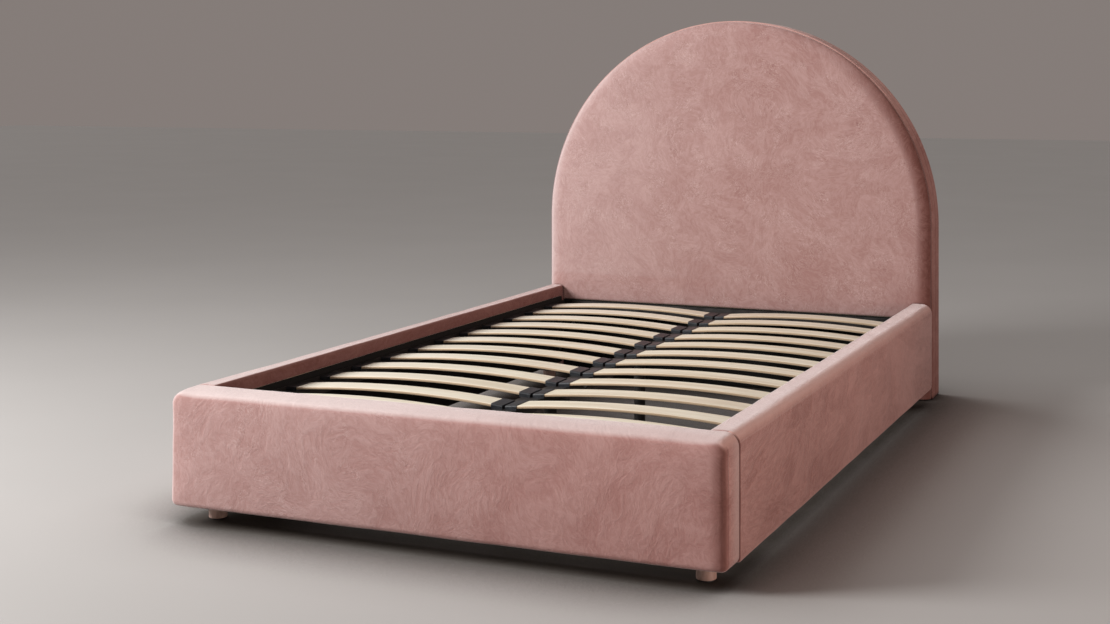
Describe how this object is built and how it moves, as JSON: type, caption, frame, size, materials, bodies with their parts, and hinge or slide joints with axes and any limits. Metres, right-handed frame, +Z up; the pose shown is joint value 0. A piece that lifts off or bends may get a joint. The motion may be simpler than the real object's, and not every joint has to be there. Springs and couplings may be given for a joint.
{
  "type": "bed frame",
  "caption": "Velvet upholstered double bed frame with a tall arched headboard, low padded rails and footboard, round wooden feet and a drop-in base of bowed slats on steel half frames.",
  "frame": {"origin": "centre of the bed's footprint, on the floor", "axes": "+X to the right seen from the foot end, +Y towards the headboard, +Z up"},
  "size_m": [1.34, 2.225, 1.215],
  "materials": {
    "velvet": "matte",
    "foam": "matte",
    "panel_board": "matte",
    "frame_timber": "matte",
    "back_cloth": "matte",
    "black_lining": "matte",
    "black_steel": "satin",
    "zinc_fasteners": "satin",
    "foot_wood": "satin",
    "glide_plastic": "matte",
    "cap_plastic": "satin",
    "birch_slats": "satin"
  },
  "bodies": {
    "bed": {"headboard_front_cover": "velvet", "headboard_foam": "foam", "headboard_side_band": "velvet", "headboard_panel": "panel_board", "headboard_frame": "frame_timber", "headboard_back_cloth": "back_cloth", "headboard_mounting_board": "frame_timber", "footboard_cover": "velvet", "footboard_foam": "foam", "footboard_frame": "frame_timber", "left_rail_cover": "velvet", "left_rail_foam": "foam", "left_rail_frame": "frame_timber", "left_ledge": "black_steel", "right_rail_cover": "velvet", "right_rail_foam": "foam", "right_rail_frame": "frame_timber", "right_ledge": "black_steel", "inner_linings": "black_lining", "end_ledges": "black_steel", "wood_screws": "zinc_fasteners", "corner_brackets": "black_steel", "corner_bolts": "zinc_fasteners", "foot_plates": "black_steel", "foot_front_left": "foot_wood", "foot_front_right": "foot_wood", "foot_rear_left": "foot_wood", "foot_rear_right": "foot_wood", "floor_glides": "glide_plastic"},
    "slatted_base": {"left_half_frame": "black_steel", "right_half_frame": "black_steel", "base_bolts": "zinc_fasteners", "centre_legs": "black_steel", "centre_leg_caps": "cap_plastic", "outer_slat_caps": "cap_plastic", "centre_slat_caps": "cap_plastic", "slat_left_01": "birch_slats", "slat_left_02": "birch_slats", "slat_left_03": "birch_slats", "slat_left_04": "birch_slats", "slat_left_05": "birch_slats", "slat_left_06": "birch_slats", "slat_left_07": "birch_slats", "slat_left_08": "birch_slats", "slat_left_09": "birch_slats", "slat_left_10": "birch_slats", "slat_left_11": "birch_slats", "slat_left_12": "birch_slats", "slat_right_01": "birch_slats", "slat_right_02": "birch_slats", "slat_right_03": "birch_slats", "slat_right_04": "birch_slats", "slat_right_05": "birch_slats", "slat_right_06": "birch_slats", "slat_right_07": "birch_slats", "slat_right_08": "birch_slats", "slat_right_09": "birch_slats", "slat_right_10": "birch_slats", "slat_right_11": "birch_slats", "slat_right_12": "birch_slats"}
  },
  "joints": [
    {"name": "slatted_base_lift", "type": "slide", "parent": "bed", "child": "slatted_base", "axis": [0, 0, 1], "range_m": [0, 0.35]}
  ]
}
